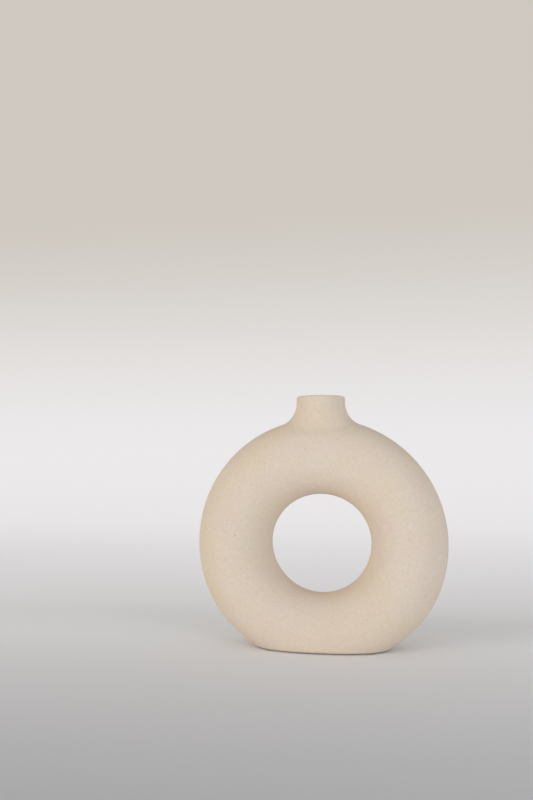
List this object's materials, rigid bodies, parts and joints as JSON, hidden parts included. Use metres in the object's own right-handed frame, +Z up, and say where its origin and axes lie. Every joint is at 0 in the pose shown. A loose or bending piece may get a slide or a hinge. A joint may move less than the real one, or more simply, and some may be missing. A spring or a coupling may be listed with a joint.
{
  "type": "ring-shaped vase",
  "caption": "Upright ring-shaped stoneware vase with a round hole through the middle, a short flared neck on top and a flat foot on felt pads.",
  "frame": {"origin": "on the floor, under the middle of the foot and of the neck", "axes": "+X to the right and +Z up as seen from the front, +Y to the back along the axis of the ring"},
  "size_m": [0.249, 0.0748, 0.249],
  "materials": {
    "stoneware": "matte, unglazed, fine sandy grain",
    "slip": "matte, unglazed",
    "felt": "matte felt"
  },
  "bodies": {
    "root": {"front_half_shell": "stoneware", "back_half_shell": "stoneware", "ring_seam_slip": "slip", "neck_collar": "stoneware", "neck_seam_slip": "slip", "foot_slab": "stoneware", "foot_seam_slip": "slip", "foot_pads": "felt"}
  },
  "joints": []
}
